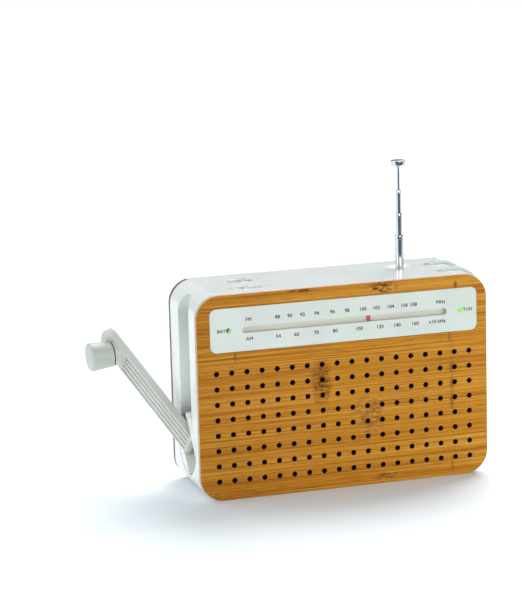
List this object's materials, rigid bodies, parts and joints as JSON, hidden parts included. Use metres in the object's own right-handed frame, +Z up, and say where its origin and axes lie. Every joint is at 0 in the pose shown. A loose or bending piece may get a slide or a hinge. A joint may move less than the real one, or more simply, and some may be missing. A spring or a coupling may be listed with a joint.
{
  "type": "hand-crank emergency radio",
  "caption": "Box-shaped crank radio: white belt casing between two bamboo panels, round-hole grille, dial strip, folding side crank, thumbwheels and telescopic antenna.",
  "frame": {"origin": "on the underside of the casing, under the middle of the body", "axes": "+X along the radio towards the thumbwheels and away from the crank, +Y from the front panel to the rear panel, +Z up"},
  "size_m": [0.2496, 0.0926, 0.2031],
  "materials": {
    "casing_plastic": "glossy white moulding",
    "dial_plastic": "satin white with dark printed scale",
    "crank_plastic": "satin white",
    "control_plastic": "satin white",
    "bamboo": "satin lacquered bamboo, grain along X",
    "black_plastic": "matt black moulding",
    "black_cloth": "thin black woven cloth",
    "scale_card": "warm grey card",
    "red_plastic": "translucent red",
    "green_lens": "clear green lens",
    "chrome": "polished",
    "steel": "plain zinc plated",
    "brass": "turned",
    "nylon": "natural nylon",
    "board": "green solder mask",
    "ferrite": "dark sintered",
    "paper": "pressed paper",
    "cell_sleeve": "printed sleeve, plain green"
  },
  "bodies": {
    "case": {"casing": "casing_plastic", "front_panel": "bamboo", "rear_panel": "bamboo", "rear_screw_left_low": "steel", "rear_screw_left_high": "steel", "rear_screw_right_low": "steel", "rear_screw_right_high": "steel", "front_baffle": "black_plastic", "speaker_cloth": "black_cloth", "dial_plate": "dial_plastic", "battery_led": "green_lens", "tuning_led": "green_lens", "dial_backplate": "scale_card", "dial_rail": "steel", "speaker_frame": "steel", "speaker_cone": "paper", "speaker_magnet": "ferrite", "main_pcb": "board", "ferrite_rod": "ferrite", "battery_holder": "black_plastic", "battery_cell_1": "cell_sleeve", "battery_cell_2": "cell_sleeve", "battery_cell_3": "cell_sleeve", "power_switch_body": "black_plastic", "band_switch_body": "black_plastic", "tuning_capacitor": "nylon", "volume_pot": "steel", "antenna_sleeve": "nylon", "hub_bush": "brass", "idler_shaft": "steel", "generator_housing": "steel", "gearbox_plate": "steel"},
    "crank": {"crank_hub": "crank_plastic", "shaft_circlip": "steel", "drive_gear": "nylon", "hinge_pin": "steel"},
    "arm": {"crank_arm": "crank_plastic", "knob_pin": "steel"},
    "knob": {"crank_knob": "crank_plastic"},
    "idler": {"idler_gear": "nylon"},
    "rotor": {"generator_rotor": "brass", "rotor_magnet": "ferrite"},
    "tuner": {"tuning_wheel": "control_plastic"},
    "needle": {"dial_needle": "red_plastic"},
    "volume": {"volume_wheel": "control_plastic"},
    "power_slider": {"power_switch_knob": "control_plastic"},
    "band_slider": {"band_switch_knob": "control_plastic"},
    "antenna_1": {"antenna_section_1": "chrome"},
    "antenna_2": {"antenna_section_2": "chrome"},
    "antenna_3": {"antenna_section_3": "chrome"},
    "antenna_tip": {"antenna_rod": "chrome", "antenna_cap": "chrome"}
  },
  "joints": [
    {"name": "crank_spin", "type": "hinge", "parent": "case", "child": "crank", "pos_m": [-0.0882, -0.0027, 0.0319], "axis": [1, 0, 0], "continuous": true},
    {"name": "crank_fold", "type": "hinge", "parent": "crank", "child": "arm", "pos_m": [-0.095, -0.0027, 0.0319], "axis": [0, -0.7431, 0.6691], "range_deg": [0, 138]},
    {"name": "knob_spin", "type": "hinge", "parent": "arm", "child": "knob", "pos_m": [-0.12805, 0.04472, 0.08457], "axis": [-0.9962, -0.0583, -0.0648], "continuous": true},
    {"name": "idler_spin", "type": "hinge", "parent": "case", "child": "idler", "pos_m": [-0.0802, -0.0027, 0.0559], "axis": [1, 0, 0], "continuous": true},
    {"name": "rotor_spin", "type": "hinge", "parent": "case", "child": "rotor", "pos_m": [-0.077, -0.0027, 0.0759], "axis": [1, 0, 0], "continuous": true},
    {"name": "tuning_turn", "type": "hinge", "parent": "case", "child": "tuner", "pos_m": [0.0826, -0.0135, 0.1171], "axis": [0, 1, 0], "range_deg": [-262.3, 131.7]},
    {"name": "needle_slide", "type": "slide", "parent": "case", "child": "needle", "axis": [1, 0, 0], "range_m": [-0.0641, 0.0322]},
    {"name": "volume_turn", "type": "hinge", "parent": "case", "child": "volume", "pos_m": [0.0826, 0.0102, 0.1171], "axis": [0, 1, 0], "range_deg": [-135, 135]},
    {"name": "power_switch_slide", "type": "slide", "parent": "case", "child": "power_slider", "axis": [1, 0, 0], "range_m": [-0.0087, 0.0035]},
    {"name": "band_switch_slide", "type": "slide", "parent": "case", "child": "band_slider", "axis": [1, 0, 0], "range_m": [-0.0042, 0.008]},
    {"name": "antenna_slide_1", "type": "slide", "parent": "case", "child": "antenna_1", "axis": [0, 0, 1], "range_m": [-0.0215, 0.04]},
    {"name": "antenna_slide_2", "type": "slide", "parent": "antenna_1", "child": "antenna_2", "axis": [0, 0, 1], "range_m": [-0.014, 0.05]},
    {"name": "antenna_slide_3", "type": "slide", "parent": "antenna_2", "child": "antenna_3", "axis": [0, 0, 1], "range_m": [-0.0146, 0.048]},
    {"name": "antenna_slide_4", "type": "slide", "parent": "antenna_3", "child": "antenna_tip", "axis": [0, 0, 1], "range_m": [-0.0147, 0.045]}
  ],
  "couplings": [
    {"joint": "idler_spin", "follows": "crank_spin", "ratio": -4},
    {"joint": "rotor_spin", "follows": "crank_spin", "ratio": 16},
    {"joint": "needle_slide", "follows": "tuning_turn", "m_per_rad": 0.014}
  ]
}
